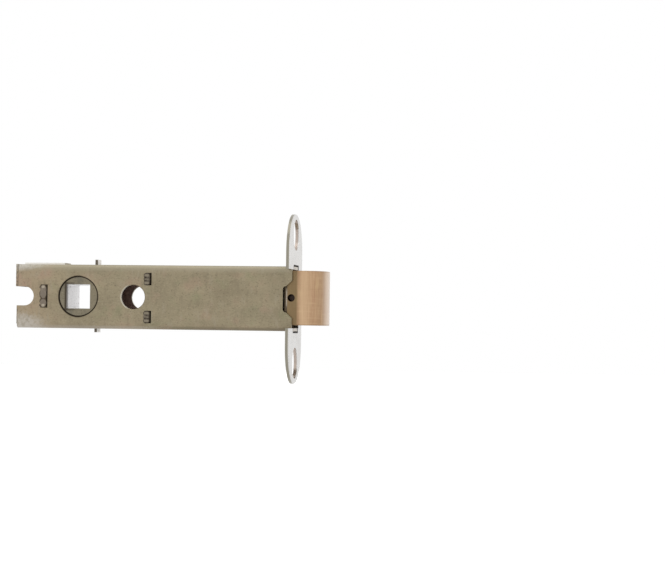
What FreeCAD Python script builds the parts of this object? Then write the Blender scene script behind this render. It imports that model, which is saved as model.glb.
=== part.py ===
import FreeCAD, Part
import os
import re
import Sketcher

# Tubular door latch, millimetres. The origin is the centre of the forend's front face.
# +X is the way the bolt shoots, +Z is up the door's edge, and the spindle runs along Y.

SIZES = {
    # folded case: a channel of near cheek, roof and floor, closed by a thinner cover
    "backset": 73.5,
    "tail_length": 22.05,
    "case_height": 21.7,
    "case_depth": 15.0,
    "case_sheet": 1.0,
    "case_bend": 1.4,
    "cover_sheet": 0.75,
    "cover_bend": 0.6,
    "cover_flap_reach": 7.5,
    "cover_flap_inset": 0.65,
    "cover_flap_gap": 0.05,
    "lower_edge_step": 0.5,
    "seam_gap": 0.05,
    # forend plate and the way the case is staked to it
    "forend_height": 57.2,
    "forend_width": 25.4,
    "forend_sheet": 1.2,
    "forend_edge": 0.25,
    "screw_margin": 7.0,
    "screw_hole": 10.4,
    "stake_width": 8.1,
    "relief_mouth": 12.6,
    "relief_height": 8.8,
    "relief_depth": 3.1,
    "relief_corner": 1.1,
    "relief_drop": 0.5,
    # holes through both cheeks
    "journal": 13.7,
    "running_gap": 0.09,
    "fixing_spacing": 19.0,
    "fixing_hole": 8.2,
    "rim_chamfer": 0.2,
    "notch_width": 6.5,
    # latch bolt
    "bolt_throw": 11.0,
    "bolt_nose_flat": 1.5,
    "bolt_corner": 2.0,
    "bolt_edge": 0.3,
    "bolt_heel": 1.75,
    "bolt_play": 0.7,
    "bolt_rise": 0.3,
    "bolt_near_gap": 0.15,
    "bolt_far_gap": 0.4,
    "window_gap": 0.15,
    "prong_end": 11.0,
    "prong_height": 3.6,
    "draw_travel": 11.0,
    # stem, its pin, the plate that the light spring bears on, and the clip behind the yoke
    "stem_shank": 4.0,
    "stem_spigot": 4.5,
    "stem_depth": 4.2,
    "socket_spare": 0.2,
    "stem_tail": 1.2,
    "stem_gap": 0.05,
    "pin_setback": 0.43,
    "pin_hole": 2.4,
    "pin_recess": 2.35,
    "pin_gap": 0.05,
    "pin_chamfer": 0.2,
    "plate_sheet": 0.9,
    "plate_gap": 0.2,
    "plate_corner": 0.9,
    "clip_sheet": 0.8,
    "clip_band": 2.1,
    "clip_groove": 3.0,
    "clip_gap": 0.1,
    # draw yoke: one bent strip with a lug at the end of each leg
    "yoke_sheet": 0.9,
    "yoke_bend": 1.5,
    "yoke_inset": 1.85,
    "yoke_play": 0.45,
    "yoke_lead": 51.0,
    "yoke_hole_gap": 0.15,
    "yoke_tail": 2.9,
    "lug_lead": 5.15,
    "lug_width": 4.3,
    "lug_proud": 1.55,
    "lug_side_gap": 0.25,
    "arm_window": 7.5,
    "slot_front_gap": 2.8,
    "slot_rear_gap": 0.4,
    # follower
    "spindle_square": 8.1,
    "square_corner": 0.35,
    "journal_proud": 0.1,
    "follower_chamfer": 0.4,
    "shoulder_step": 1.05,
    "shoulder_sheet": 1.3,
    "shoulder_gap": 0.1,
    "arm_reach": 10.8,
    "arm_tip": 1.8,
    "arm_root": 2.8,
    "arm_side_gap": 0.2,
    "arm_gap": 0.25,
    # bridge plate and rear spacer, staked through both cheeks
    "bridge_lead": 6.0,
    "bridge_sheet": 1.8,
    "bridge_hole": 6.0,
    "bridge_side_gap": 0.05,
    "leg_gap": 0.3,
    "bridge_tab_level": 6.4,
    "bridge_tab_drop": 0.3,
    "bridge_tab_height": 4.0,
    "spacer_lag": 11.25,
    "spacer_sheet": 1.95,
    "spacer_tab_height": 7.7,
    "tab_proud": 0.12,
    "tab_slack": 0.4,
    "tab_fit": 0.1,
    "tab_edge": 0.2,
    "tab_corner": 0.5,
    "tab_groove": 0.4,
    "groove_step": 0.42,
    # coil springs
    "bolt_spring_gap": 1.65,
    "bolt_spring_wire": 0.8,
    "bolt_spring_turns": 7.5,
    "lever_spring_gap": 0.625,
    "lever_spring_wire": 1.2,
    "lever_spring_turns": 8.5,
    "spring_seat_gap": 0.1,
}

# Sizes that follow from the ones above. Lengths named for a place count back from the forend's face.
DERIVED = {
    "case_length": "backset + tail_length",
    "cover_flap_end": "case_length - cover_flap_inset",
    "cover_flap_start": "slot_end + cover_flap_gap",
    "screw_spacing": "forend_height - 2 * screw_margin",
    "relief_level": "bolt_rise - relief_drop",
    "fixing_backset": "backset - fixing_spacing",
    "notch_centre": "backset + fixing_spacing",
    "bolt_depth": "case_depth - case_sheet - cover_sheet - bolt_near_gap - bolt_far_gap",
    "bolt_near": "-case_depth / 2 + case_sheet + bolt_near_gap",
    "bolt_far": "case_depth / 2 - cover_sheet - bolt_far_gap",
    "bolt_nose": "bolt_depth - bolt_corner - bolt_nose_flat",
    "bolt_height": "case_height - 2 * case_sheet - 2 * bolt_play",
    "pin_length": "bolt_depth - 2 * pin_recess",
    "clip_width": "clip_groove + 2 * clip_band",
    "yoke_width": "bolt_depth - 2 * yoke_inset",
    "yoke_front": "backset - yoke_lead",
    "yoke_height": "case_height - 2 * case_sheet - 2 * yoke_play",
    "lug_front": "backset - lug_lead",
    "lug_span": "case_height + 2 * lug_proud",
    "slot_end": "lug_front + yoke_sheet + draw_travel + slot_rear_gap",
    "yoke_end": "lug_front + yoke_tail",
    "follower_length": "case_depth + 2 * journal_proud",
    "shoulder": "journal + 2 * shoulder_step",
    "arm_depth": "lug_width - 2 * arm_side_gap",
    "bridge_front": "fixing_backset - bridge_lead",
    "spacer_front": "backset + spacer_lag",
    "bolt_spring_width": "bolt_height - 2 * prong_height - 2 * bolt_spring_gap",
    "lever_spring_width": "case_depth - case_sheet - cover_sheet - 2 * lever_spring_gap",
}

doc = FreeCAD.newDocument("tubular_latch")
sheet = doc.addObject("Spreadsheet::Sheet", "sizes")
for row, (alias, size) in enumerate(SIZES.items(), start=1):
    sheet.set(f"A{row}", alias)
    sheet.set(f"B{row}", str(size))
    sheet.setAlias(f"B{row}", alias)
doc.recompute()

NAME = re.compile(r"[a-z][a-z_]+")


def spell_out(text):
    """Put the formulas of derived names in their place, down to the sheet's own names."""
    while any(name in DERIVED for name in NAME.findall(text)):
        text = NAME.sub(lambda found: f"({DERIVED[found[0]]})" if found[0] in DERIVED else found[0], text)
    return text


def number(text):
    """Value of a formula of size names."""
    return float(sheet.evalExpression(spell_out(text)))


def formula(text):
    """The same formula as another object writes it, with the sheet's name before each cell's."""
    return NAME.sub(lambda found: "sizes." + found[0] if found[0] in SIZES else found[0], spell_out(text))


def bind(thing, path, text):
    thing.setExpression(path, formula(text))


# Where a plane's sketch axes point, and the sign that turns a depth into a height above the plane.
PLANES = {"XY_Plane": 1, "XZ_Plane": -1, "YZ_Plane": 1}


def new_body(label):
    body = doc.addObject("PartDesign::Body", label)
    body.Label = label
    return body


def new_sketch(body, plane, level):
    """Sketch on one of the body's own planes, moved to a level along the third axis."""
    sketch = body.newObject("Sketcher::SketchObject", body.Label + "_sketch")
    origin_plane = next(f for f in body.Origin.OriginFeatures if f.Role == plane)
    sketch.AttachmentSupport = [(origin_plane, "")]
    sketch.MapMode = "FlatFace"
    bind(sketch, "AttachmentOffset.Base.z", f"{PLANES[plane]} * ({level})")
    return sketch


def fix_point(sketch, edge, end, across, up):
    for kind, text in (("DistanceX", across), ("DistanceY", up)):
        index = sketch.addConstraint(Sketcher.Constraint(kind, -1, 1, edge, end, number(text)))
        bind(sketch, f"Constraints[{index}]", text)


def draw_circle(sketch, across, up, width):
    centre = FreeCAD.Vector(number(across), number(up), 0)
    radius = number(f"({width}) / 2")
    edge = sketch.addGeometry(Part.Circle(centre, FreeCAD.Vector(0, 0, 1), radius), False)
    fix_point(sketch, edge, 3, across, up)
    index = sketch.addConstraint(Sketcher.Constraint("Diameter", edge, 2 * radius))
    bind(sketch, f"Constraints[{index}]", width)


HALF_ROUND = "half round"


def draw_outline(sketch, corners):
    """Closed outline. A corner is (across, up), or (across, up, radius, side) for an arc that ends there:
    side is 1 where the arc's centre lies to the left of its chord and -1 where it lies to the right.
    The radius HALF_ROUND stands for a half circle on its chord."""
    places = [FreeCAD.Vector(number(corner[0]), number(corner[1]), 0) for corner in corners]
    edges = []
    for index, corner in enumerate(corners):
        start, end = places[index - 1], places[index]
        if len(corner) == 2:
            edges.append((sketch.addGeometry(Part.LineSegment(start, end), False), 1, 2))
            continue
        half_round, side = corner[2] == HALF_ROUND, corner[3]
        chord = end - start
        radius = chord.Length / 2 if half_round else number(corner[2])
        left = FreeCAD.Vector(-chord.y, chord.x, 0).normalize() * side
        sag = radius - max(radius**2 - chord.Length**2 / 4, 0) ** 0.5
        middle = start + chord * 0.5 - left * sag
        edge = sketch.addGeometry(Part.Arc(start, middle, end), False)
        first, last = (1, 2) if side == 1 else (2, 1)
        edges.append((edge, first, last))
        if half_round:
            sketch.addConstraint(Sketcher.Constraint("Symmetric", edge, 1, edge, 2, edge, 3))
        else:
            bound = sketch.addConstraint(Sketcher.Constraint("Radius", edge, radius))
            bind(sketch, f"Constraints[{bound}]", corner[2])
    for index, corner in enumerate(corners):
        edge, _, last = edges[index]
        following, first, _ = edges[(index + 1) % len(corners)]
        sketch.addConstraint(Sketcher.Constraint("Coincident", edge, last, following, first))
        fix_point(sketch, edge, last, corner[0], corner[1])


def rectangle(left, right, low, high):
    return [(left, low), (right, low), (right, high), (left, high)]


def draw(sketch, shapes):
    for shape in shapes:
        if isinstance(shape, tuple):
            draw_circle(sketch, *shape)
        else:
            draw_outline(sketch, shape)


def pad(body, plane, low, high, *shapes):
    """Add material between two levels of the plane's third axis."""
    sketch = new_sketch(body, plane, low if PLANES[plane] == 1 else high)
    draw(sketch, shapes)
    feature = body.newObject("PartDesign::Pad", body.Label + "_pad")
    feature.Profile = sketch
    bind(feature, "Length", f"({high}) - ({low})")
    doc.recompute()


def cut(body, plane, low, high, *shapes):
    """Remove material between two levels of the plane's third axis."""
    before = body.Shape.Volume
    sketch = new_sketch(body, plane, high if PLANES[plane] == 1 else low)
    draw(sketch, shapes)
    feature = body.newObject("PartDesign::Pocket", body.Label + "_pocket")
    feature.Profile = sketch
    bind(feature, "Length", f"({high}) - ({low})")
    doc.recompute()
    if not body.Shape.Volume < before - 1e-6:
        raise ValueError(f"a pocket of {body.Label} removed nothing: {feature.State} {sketch.State}")


def edges_where(body, test):
    shape = body.Shape
    return [f"Edge{index}" for index, edge in enumerate(shape.Edges, start=1) if test(edge)]


def dress(body, kind, size, test):
    """Fillet or chamfer the edges that pass the test, by a named size."""
    names = edges_where(body, test)
    if not names:
        raise ValueError(f"no edge of {body.Label} to finish")
    base = body.Tip
    feature = body.newObject("PartDesign::" + kind, body.Label + "_" + kind.lower())
    feature.Base = (base, names)
    bind(feature, "Radius" if kind == "Fillet" else "Size", size)
    doc.recompute()


def near(value, text):
    return abs(value - number(text)) < 1e-4


def is_ring(edge, axis, width):
    """True for a full circle of this width about an axis direction."""
    curve = edge.Curve
    return (
        isinstance(curve, Part.Circle)
        and edge.isClosed()
        and near(2 * curve.Radius, width)
        and abs(curve.Axis[axis]) > 0.99
    )


def spans(edge, **limits):
    """True if the edge's box lies on the given values, such as XMin='0'."""
    return all(near(getattr(edge.BoundBox, side), text) for side, text in limits.items())


HALF_DEPTH = "case_depth / 2"
HALF_HEIGHT = "case_height / 2"
NEAR_INNER = "-case_depth / 2 + case_sheet"
FAR_INNER = "case_depth / 2 - cover_sheet"
WALL_INNER = "case_height / 2 - case_sheet"
JOURNAL_HOLE = "journal + 2 * running_gap"
BRIDGE_TAB_LEVELS = ("bridge_tab_level - bridge_tab_drop", "-bridge_tab_level - bridge_tab_drop")


def cheek_openings(body, low, high):
    """Follower hole, fixing hole, rear notch and the slots for the staked tabs, through one cheek."""
    notch = [
        ("-case_length - 1", "-notch_width / 2"),
        ("-notch_centre", "-notch_width / 2"),
        ("-notch_centre", "notch_width / 2", HALF_ROUND, 1),
        ("-case_length - 1", "notch_width / 2"),
    ]
    spacer_slot = rectangle(
        "-spacer_front - spacer_sheet - tab_fit",
        "-spacer_front + tab_slack",
        "-spacer_tab_height / 2 - tab_fit",
        "spacer_tab_height / 2 + tab_fit",
    )
    holes = [("-backset", "0", JOURNAL_HOLE), ("-fixing_backset", "0", "fixing_hole")]
    cut(body, "XZ_Plane", low, high, notch, spacer_slot, *holes)
    for level in BRIDGE_TAB_LEVELS:
        slot = rectangle(
            "-bridge_front - bridge_sheet - tab_fit",
            "-bridge_front + tab_slack",
            f"{level} - bridge_tab_height / 2 - tab_fit",
            f"{level} + bridge_tab_height / 2 + tab_fit",
        )
        cut(body, "XZ_Plane", low, high, slot)


def make_case_channel():
    """Near cheek, roof and floor folded from one strip. The cheek runs on to the forend's face beside
    the bolt, and two tabs are staked in the forend."""
    body = new_body("case_channel")
    inner_bend = "case_bend - case_sheet"
    section = [
        (FAR_INNER + " - seam_gap", "-" + HALF_HEIGHT),
        (FAR_INNER + " - seam_gap", "-(" + WALL_INNER + ")"),
        (NEAR_INNER + " + " + inner_bend, "-(" + WALL_INNER + ")"),
        (NEAR_INNER, "-(" + WALL_INNER + ") + " + inner_bend, inner_bend, -1),
        (NEAR_INNER, WALL_INNER + " - (" + inner_bend + ")"),
        (NEAR_INNER + " + " + inner_bend, WALL_INNER, inner_bend, -1),
        (FAR_INNER + " - seam_gap", WALL_INNER),
        (FAR_INNER + " - seam_gap", HALF_HEIGHT),
        ("-case_depth / 2 + case_bend", HALF_HEIGHT),
        ("-case_depth / 2", "case_height / 2 - case_bend", "case_bend", 1),
        ("-case_depth / 2", "-case_height / 2 + case_bend"),
        ("-case_depth / 2 + case_bend", "-case_height / 2", "case_bend", 1),
    ]
    pad(body, "YZ_Plane", "-case_length + lower_edge_step", "-forend_sheet", section)
    for side in (1, -1):
        root, head = f"{side} * ({WALL_INNER})", f"{side} * case_height / 2"
        tab = rectangle("-stake_width / 2", "stake_width / 2", root, head)
        pad(body, "YZ_Plane", "-forend_sheet - case_sheet", "0", tab)
    lip_end = f"{WALL_INNER} - seam_gap"
    lip = rectangle("-case_depth / 2", NEAR_INNER, f"-({lip_end})", lip_end)
    pad(body, "YZ_Plane", "-forend_sheet - case_sheet", "0", lip)
    upper_end = rectangle("-case_length - 1", "-case_length + cover_sheet + seam_gap", "0", "case_height")
    cut(body, "XZ_Plane", "-case_depth", "case_depth", upper_end)
    cheek_openings(body, "-case_depth / 2 - 1", NEAR_INNER)
    low, high = "relief_level - relief_height / 2", "relief_level + relief_height / 2"
    relief = [
        ("0", "relief_level - relief_mouth / 2"),
        ("0", "relief_level + relief_mouth / 2"),
        ("-relief_depth + relief_corner", high),
        ("-relief_depth", f"{high} - relief_corner", "relief_corner", 1),
        ("-relief_depth", f"{low} + relief_corner"),
        ("-relief_depth + relief_corner", low, "relief_corner", 1),
    ]
    cut(body, "XZ_Plane", "-case_depth / 2 - 1", NEAR_INNER + " + 0.01", relief)
    slot = rectangle(
        "-slot_end",
        "-lug_front + slot_front_gap",
        "-lug_width / 2 - lug_side_gap",
        "lug_width / 2 + lug_side_gap",
    )
    cut(body, "XY_Plane", "-case_height", "case_height", slot)
    outer = lambda edge: near(edge.CenterOfMass.y, "-case_depth / 2")
    dress(body, "Chamfer", "rim_chamfer", lambda edge: is_ring(edge, 1, "fixing_hole") and outer(edge))
    return body


def make_back_cover():
    """Far cheek of thinner sheet, with two flaps folded round the rear end and one over the roof."""
    body = new_body("back_cover")
    cheek = rectangle("-case_length", "-forend_sheet", "-" + HALF_HEIGHT, HALF_HEIGHT)
    pad(body, "XZ_Plane", FAR_INNER, HALF_DEPTH, cheek)
    roof = HALF_HEIGHT + " + cover_sheet"
    flap = rectangle(HALF_DEPTH + " - cover_flap_reach", HALF_DEPTH, HALF_HEIGHT, roof)
    pad(body, "YZ_Plane", "-cover_flap_end", "-cover_flap_start", flap)
    upper = rectangle("-case_length", "-case_length + cover_sheet", "notch_width / 2", HALF_HEIGHT)
    pad(body, "XZ_Plane", "-" + HALF_DEPTH, HALF_DEPTH, upper)
    bend_end = "-case_height / 2 + case_bend"
    lower = rectangle("-case_length", "-case_length + cover_sheet", bend_end, "-notch_width / 2")
    pad(body, "XZ_Plane", NEAR_INNER + " + seam_gap", HALF_DEPTH, lower)
    cheek_openings(body, FAR_INNER + " - 0.01", HALF_DEPTH + " + 1")
    rear = dict(XMin="-case_length", XMax="-case_length", YMin=HALF_DEPTH, YMax=HALF_DEPTH)
    dress(body, "Fillet", "cover_bend", lambda edge: spans(edge, **rear))
    top = dict(YMin=HALF_DEPTH, YMax=HALF_DEPTH, ZMin=roof, ZMax=roof)
    dress(body, "Fillet", "cover_bend", lambda edge: spans(edge, **top))
    return body


def make_forend_plate():
    """Round-ended face plate with two screw holes and a window open to the near side, where the bolt
    and the case's near cheek come through."""
    body = new_body("forend_plate")
    straight = "forend_height / 2 - forend_width / 2"
    outline = [
        ("-forend_width / 2", "-(" + straight + ")"),
        ("forend_width / 2", "-(" + straight + ")", HALF_ROUND, 1),
        ("forend_width / 2", straight),
        ("-forend_width / 2", straight, HALF_ROUND, 1),
    ]
    pad(body, "YZ_Plane", "-forend_sheet", "0", outline)
    dress(body, "Fillet", "forend_edge", lambda edge: spans(edge, XMin="0", XMax="0"))
    holes = [("0", f"{side}screw_spacing / 2", "screw_hole") for side in ("", "-")]
    window = rectangle("-forend_width", "bolt_far + window_gap", "-(" + WALL_INNER + ")", WALL_INNER)
    cut(body, "YZ_Plane", "-2 * forend_sheet", "forend_sheet", window, *holes)
    stakes = rectangle(
        "-stake_width / 2 - seam_gap",
        "stake_width / 2 + seam_gap",
        "-case_height / 2 - seam_gap",
        "case_height / 2 + seam_gap",
    )
    cut(body, "YZ_Plane", "-2 * forend_sheet", "forend_sheet", stakes)
    return body


def finish_tab(body, side, level, height, front, thickness, grooves):
    """Round a staked tab's corners and head, and part the head with chisel grooves at these offsets."""
    face = f"{side} * ({HALF_DEPTH} + tab_proud)"

    def on_tab(edge):
        box = edge.BoundBox
        inside = abs(edge.CenterOfMass.z - number(level)) < number(height) / 2 + 1e-3
        return inside and box.YMin < number(face) + 1e-4 and box.YMax > number(face) - 1e-4

    def is_corner(edge):
        return on_tab(edge) and edge.BoundBox.YMax - edge.BoundBox.YMin > number("case_sheet / 2")

    def on_head(edge):
        return on_tab(edge) and spans(edge, YMin=face, YMax=face)

    dress(body, "Fillet", "tab_corner", is_corner)
    dress(body, "Fillet", "tab_edge", on_head)
    for offset in grooves:
        middle = f"{level} + {offset}"
        groove = [
            (f"{face} + {side} * 0.1", f"{middle} - tab_groove / 2"),
            (f"{face} + {side} * 0.1", f"{middle} + tab_groove / 2"),
            (f"{face} - {side} * tab_groove / 2", middle),
        ]
        cut(body, "YZ_Plane", f"-{front} - 2 * {thickness}", f"-{front} + {thickness}", groove)


def make_bridge_plate():
    """Cross plate that the lever spring pushes against, notched for the yoke's legs."""
    body = new_body("bridge_plate")
    side = NEAR_INNER + " + bridge_side_gap"
    far = FAR_INNER + " - bridge_side_gap"
    top = WALL_INNER + " - bridge_side_gap"
    notch_side = "yoke_width / 2 + leg_gap"
    notch_floor = "yoke_height / 2 - yoke_sheet - bolt_rise - leg_gap"
    bend = "case_bend - case_sheet"
    outline = [
        (side, f"-({top}) + {bend}"),
        (f"{side} + {bend}", f"-({top})", bend, 1),
        (f"-({notch_side})", f"-({top})"),
        (f"-({notch_side})", f"-({notch_floor})"),
        (notch_side, f"-({notch_floor})"),
        (notch_side, f"-({top})"),
        (far, f"-({top})"),
        (far, top),
        (notch_side, top),
        (notch_side, notch_floor),
        (f"-({notch_side})", notch_floor),
        (f"-({notch_side})", top),
        (f"{side} + {bend}", top),
        (side, f"{top} - ({bend})", bend, 1),
    ]
    spring_hole = ("0", "bolt_rise", "bridge_hole")
    pad(body, "YZ_Plane", "-bridge_front - bridge_sheet", "-bridge_front", outline, spring_hole)
    for level in BRIDGE_TAB_LEVELS:
        for cheek_side in (1, -1):
            root = f"{cheek_side} * ({notch_side})"
            head = f"{cheek_side} * ({HALF_DEPTH} + tab_proud)"
            half = "bridge_tab_height / 2"
            tab = rectangle(root, head, f"{level} - {half}", f"{level} + {half}")
            pad(body, "YZ_Plane", "-bridge_front - bridge_sheet", "-bridge_front", tab)
            grooves = ("groove_step", "-groove_step")
            sizes = ("bridge_tab_height", "bridge_front", "bridge_sheet")
            finish_tab(body, cheek_side, level, *sizes, grooves)
    return body


def make_rear_spacer():
    """Cross plate that keeps the cheeks apart behind the follower."""
    body = new_body("rear_spacer")
    side = NEAR_INNER + " + bridge_side_gap"
    far = FAR_INNER + " - bridge_side_gap"
    top = WALL_INNER + " - bridge_side_gap"
    bend = "case_bend - case_sheet"
    plate = [
        (side, f"-({top}) + {bend}"),
        (f"{side} + {bend}", f"-({top})", bend, 1),
        (far, f"-({top})"),
        (far, top),
        (f"{side} + {bend}", top),
        (side, f"{top} - ({bend})", bend, 1),
    ]
    pad(body, "YZ_Plane", "-spacer_front - spacer_sheet", "-spacer_front", plate)
    for cheek_side in (1, -1):
        head = f"{cheek_side} * ({HALF_DEPTH} + tab_proud)"
        tab = rectangle("0", head, "-spacer_tab_height / 2", "spacer_tab_height / 2")
        pad(body, "YZ_Plane", "-spacer_front - spacer_sheet", "-spacer_front", tab)
        finish_tab(body, cheek_side, "0", "spacer_tab_height", "spacer_front", "spacer_sheet", ("0",))
    return body


def make_latch_bolt():
    """Bolt with one side curved to ride over the strike, and two prongs that guide it in the case."""
    body = new_body("latch_bolt")
    outline = [
        ("-prong_end", "bolt_near"),
        ("bolt_throw - bolt_nose", "bolt_near"),
        ("bolt_throw", "bolt_near + bolt_nose", "bolt_nose", 1),
        ("bolt_throw", "bolt_far - bolt_corner"),
        ("bolt_throw - bolt_corner", "bolt_far", "bolt_corner", 1),
        ("-prong_end", "bolt_far"),
    ]
    pad(body, "XY_Plane", "bolt_rise - bolt_height / 2", "bolt_rise + bolt_height / 2", outline)

    def on_rim(edge):
        box = edge.BoundBox
        flat = abs(box.ZMax - box.ZMin) < 1e-4
        return flat and box.XMax > number("bolt_throw - bolt_nose") - 1e-4

    dress(body, "Fillet", "bolt_edge", on_rim)
    throat = rectangle(
        "-prong_end - 1",
        "-bolt_heel",
        "bolt_rise - bolt_height / 2 + prong_height",
        "bolt_rise + bolt_height / 2 - prong_height",
    )
    cut(body, "XZ_Plane", "-bolt_depth", "bolt_depth", throat)
    cut(body, "XZ_Plane", "-bolt_depth", "bolt_depth", ("-pin_setback", "bolt_rise", "pin_hole"))
    socket = ("0", "bolt_rise", "stem_spigot + 2 * stem_gap")
    cut(body, "YZ_Plane", "-bolt_heel - 1", "-bolt_heel + stem_depth + socket_spare", socket)
    return body


def make_bolt_stem():
    """Turned rod: a spigot pinned in the bolt, a long shank and a groove for the clip at its tail."""
    body = new_body("bolt_stem")
    clip_front = "yoke_front + yoke_sheet + clip_gap"
    tail = f"-({clip_front}) - clip_sheet - 2 * stem_gap - stem_tail"
    pad(body, "YZ_Plane", tail, "-bolt_heel", ("0", "bolt_rise", "stem_shank"))
    pad(body, "YZ_Plane", "-bolt_heel", "-bolt_heel + stem_depth", ("0", "bolt_rise", "stem_spigot"))
    ring = ("0", "bolt_rise", "stem_shank + 1")
    core = ("0", "bolt_rise", "clip_groove")
    groove_rear = f"-({clip_front}) - clip_sheet - stem_gap"
    cut(body, "YZ_Plane", groove_rear, f"-({clip_front}) + stem_gap", ring, core)
    cut(body, "XZ_Plane", "-stem_spigot", "stem_spigot", ("-pin_setback", "bolt_rise", "pin_hole"))
    return body


def make_bolt_pin():
    """Cross pin that holds the stem's spigot in the bolt."""
    body = new_body("bolt_pin")
    width = "pin_hole - 2 * pin_gap"
    pad(body, "XZ_Plane", "-pin_length / 2", "pin_length / 2", ("-pin_setback", "bolt_rise", width))
    dress(body, "Chamfer", "pin_chamfer", lambda edge: is_ring(edge, 1, width))
    return body


def make_spring_plate():
    """Steel plate against the bolt's heel, between the prongs, that the light spring pushes on."""
    body = new_body("spring_plate")
    half = "bolt_height / 2 - prong_height - plate_gap"
    low, high = f"bolt_rise - ({half})", f"bolt_rise + {half}"
    outline = rectangle("bolt_near + plate_gap", "bolt_far - plate_gap", low, high)
    hole = ("0", "bolt_rise", "stem_shank + 2 * stem_gap")
    pad(body, "YZ_Plane", "-bolt_heel - plate_sheet", "-bolt_heel", outline, hole)

    def is_corner(edge):
        through = near(edge.BoundBox.XMax - edge.BoundBox.XMin, "plate_sheet")
        return through and isinstance(edge.Curve, Part.Line)

    dress(body, "Fillet", "plate_corner", is_corner)
    return body


def make_stem_clip():
    """Open ring snapped in the stem's groove, so that the yoke can draw the stem back."""
    body = new_body("stem_clip")
    front = "-yoke_front - yoke_sheet - clip_gap"
    ring = ("0", "bolt_rise", "clip_width")
    hole = ("0", "bolt_rise", "clip_groove + 2 * stem_gap")
    pad(body, "YZ_Plane", f"{front} - clip_sheet", front, ring, hole)
    side = "clip_groove / 2 - stem_gap"
    mouth = rectangle(f"-({side})", side, "bolt_rise - clip_width", "bolt_rise")
    cut(body, "YZ_Plane", f"{front} - 2 * clip_sheet", f"{front} + clip_sheet", mouth)
    return body


def make_draw_yoke():
    """Steel strip bent to a U: its web pulls the stem, and a lug on each leg runs in the case's slots."""
    body = new_body("draw_yoke")
    inner_bend = "yoke_bend - yoke_sheet"
    top = "bolt_rise + yoke_height / 2"
    low = "bolt_rise - yoke_height / 2"
    web_back = "-yoke_front - yoke_sheet"
    section = [
        ("-yoke_end", low),
        ("-yoke_front - yoke_bend", low),
        ("-yoke_front", f"{low} + yoke_bend", "yoke_bend", 1),
        ("-yoke_front", f"{top} - yoke_bend"),
        ("-yoke_front - yoke_bend", top, "yoke_bend", 1),
        ("-yoke_end", top),
        ("-yoke_end", f"{top} - yoke_sheet"),
        (f"{web_back} - ({inner_bend})", f"{top} - yoke_sheet"),
        (web_back, f"{top} - yoke_bend", inner_bend, -1),
        (web_back, f"{low} + yoke_bend"),
        (f"{web_back} - ({inner_bend})", f"{low} + yoke_sheet", inner_bend, -1),
        ("-yoke_end", f"{low} + yoke_sheet"),
    ]
    pad(body, "XZ_Plane", "-yoke_width / 2", "yoke_width / 2", section)
    half = "(lug_width + lug_side_gap) / 2"
    window = rectangle("-lug_front", "-lug_front + arm_window", f"-{half}", half)
    cut(body, "XY_Plane", "-case_height", "case_height", window)
    lug_root = "yoke_height / 2 - yoke_sheet"
    for side in (1, -1):
        lug = rectangle(
            "-lug_front - yoke_sheet",
            "-lug_front",
            f"bolt_rise + {side} * ({lug_root})",
            f"bolt_rise + {side} * lug_span / 2",
        )
        pad(body, "XZ_Plane", "-lug_width / 2", "lug_width / 2", lug)
    hole = ("0", "bolt_rise", "stem_shank + 2 * yoke_hole_gap")
    cut(body, "YZ_Plane", "-yoke_front - 2 * yoke_sheet", "-yoke_front + yoke_sheet", hole)
    return body


def is_square_corner(edge):
    """Long straight edge at a corner of the spindle's square."""
    box = edge.BoundBox
    beside = abs(abs(edge.CenterOfMass.x + number("backset")) - number("spindle_square / 2")) < 1e-4
    above = abs(abs(edge.CenterOfMass.z) - number("spindle_square / 2")) < 1e-4
    return beside and above and near(box.YMax - box.YMin, "follower_length")


def is_journal_rim(edge):
    return is_ring(edge, 1, "journal") and abs(edge.CenterOfMass.y) > number("follower_length / 2") - 1e-4


def make_follower():
    """Follower that the spindle turns: journals in both cheeks, shoulders inside them and two arms."""
    body = new_body("follower")
    centre = ("-backset", "0")
    pad(body, "XZ_Plane", "-follower_length / 2", "follower_length / 2", (*centre, "journal"))
    near_shoulder = NEAR_INNER + " + shoulder_gap"
    far_shoulder = FAR_INNER + " - shoulder_gap"
    pad(body, "XZ_Plane", near_shoulder, f"{near_shoulder} + shoulder_sheet", (*centre, "shoulder"))
    pad(body, "XZ_Plane", f"{far_shoulder} - shoulder_sheet", far_shoulder, (*centre, "shoulder"))
    flank = "-lug_front + arm_gap"
    tip = "sqrt(pow(arm_reach; 2) - pow(backset - lug_front + arm_gap + arm_tip / 2; 2))"
    for side in (1, -1):
        arm = [
            (flank, "0"),
            (flank, f"{side} * {tip}"),
            (f"{flank} + arm_tip", f"{side} * {tip}", HALF_ROUND, -side),
            (f"{flank} + arm_root", f"{side} * journal / 4"),
            (f"{flank} + arm_root - arm_tip", "0"),
        ]
        pad(body, "XZ_Plane", "-arm_depth / 2", "arm_depth / 2", arm)
    half = "spindle_square / 2"
    square = rectangle(f"-backset - {half}", f"-backset + {half}", f"-{half}", half)
    cut(body, "XZ_Plane", "-follower_length", "follower_length", square)
    dress(body, "Fillet", "square_corner", is_square_corner)
    dress(body, "Chamfer", "follower_chamfer", is_journal_rim)
    return body


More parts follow.
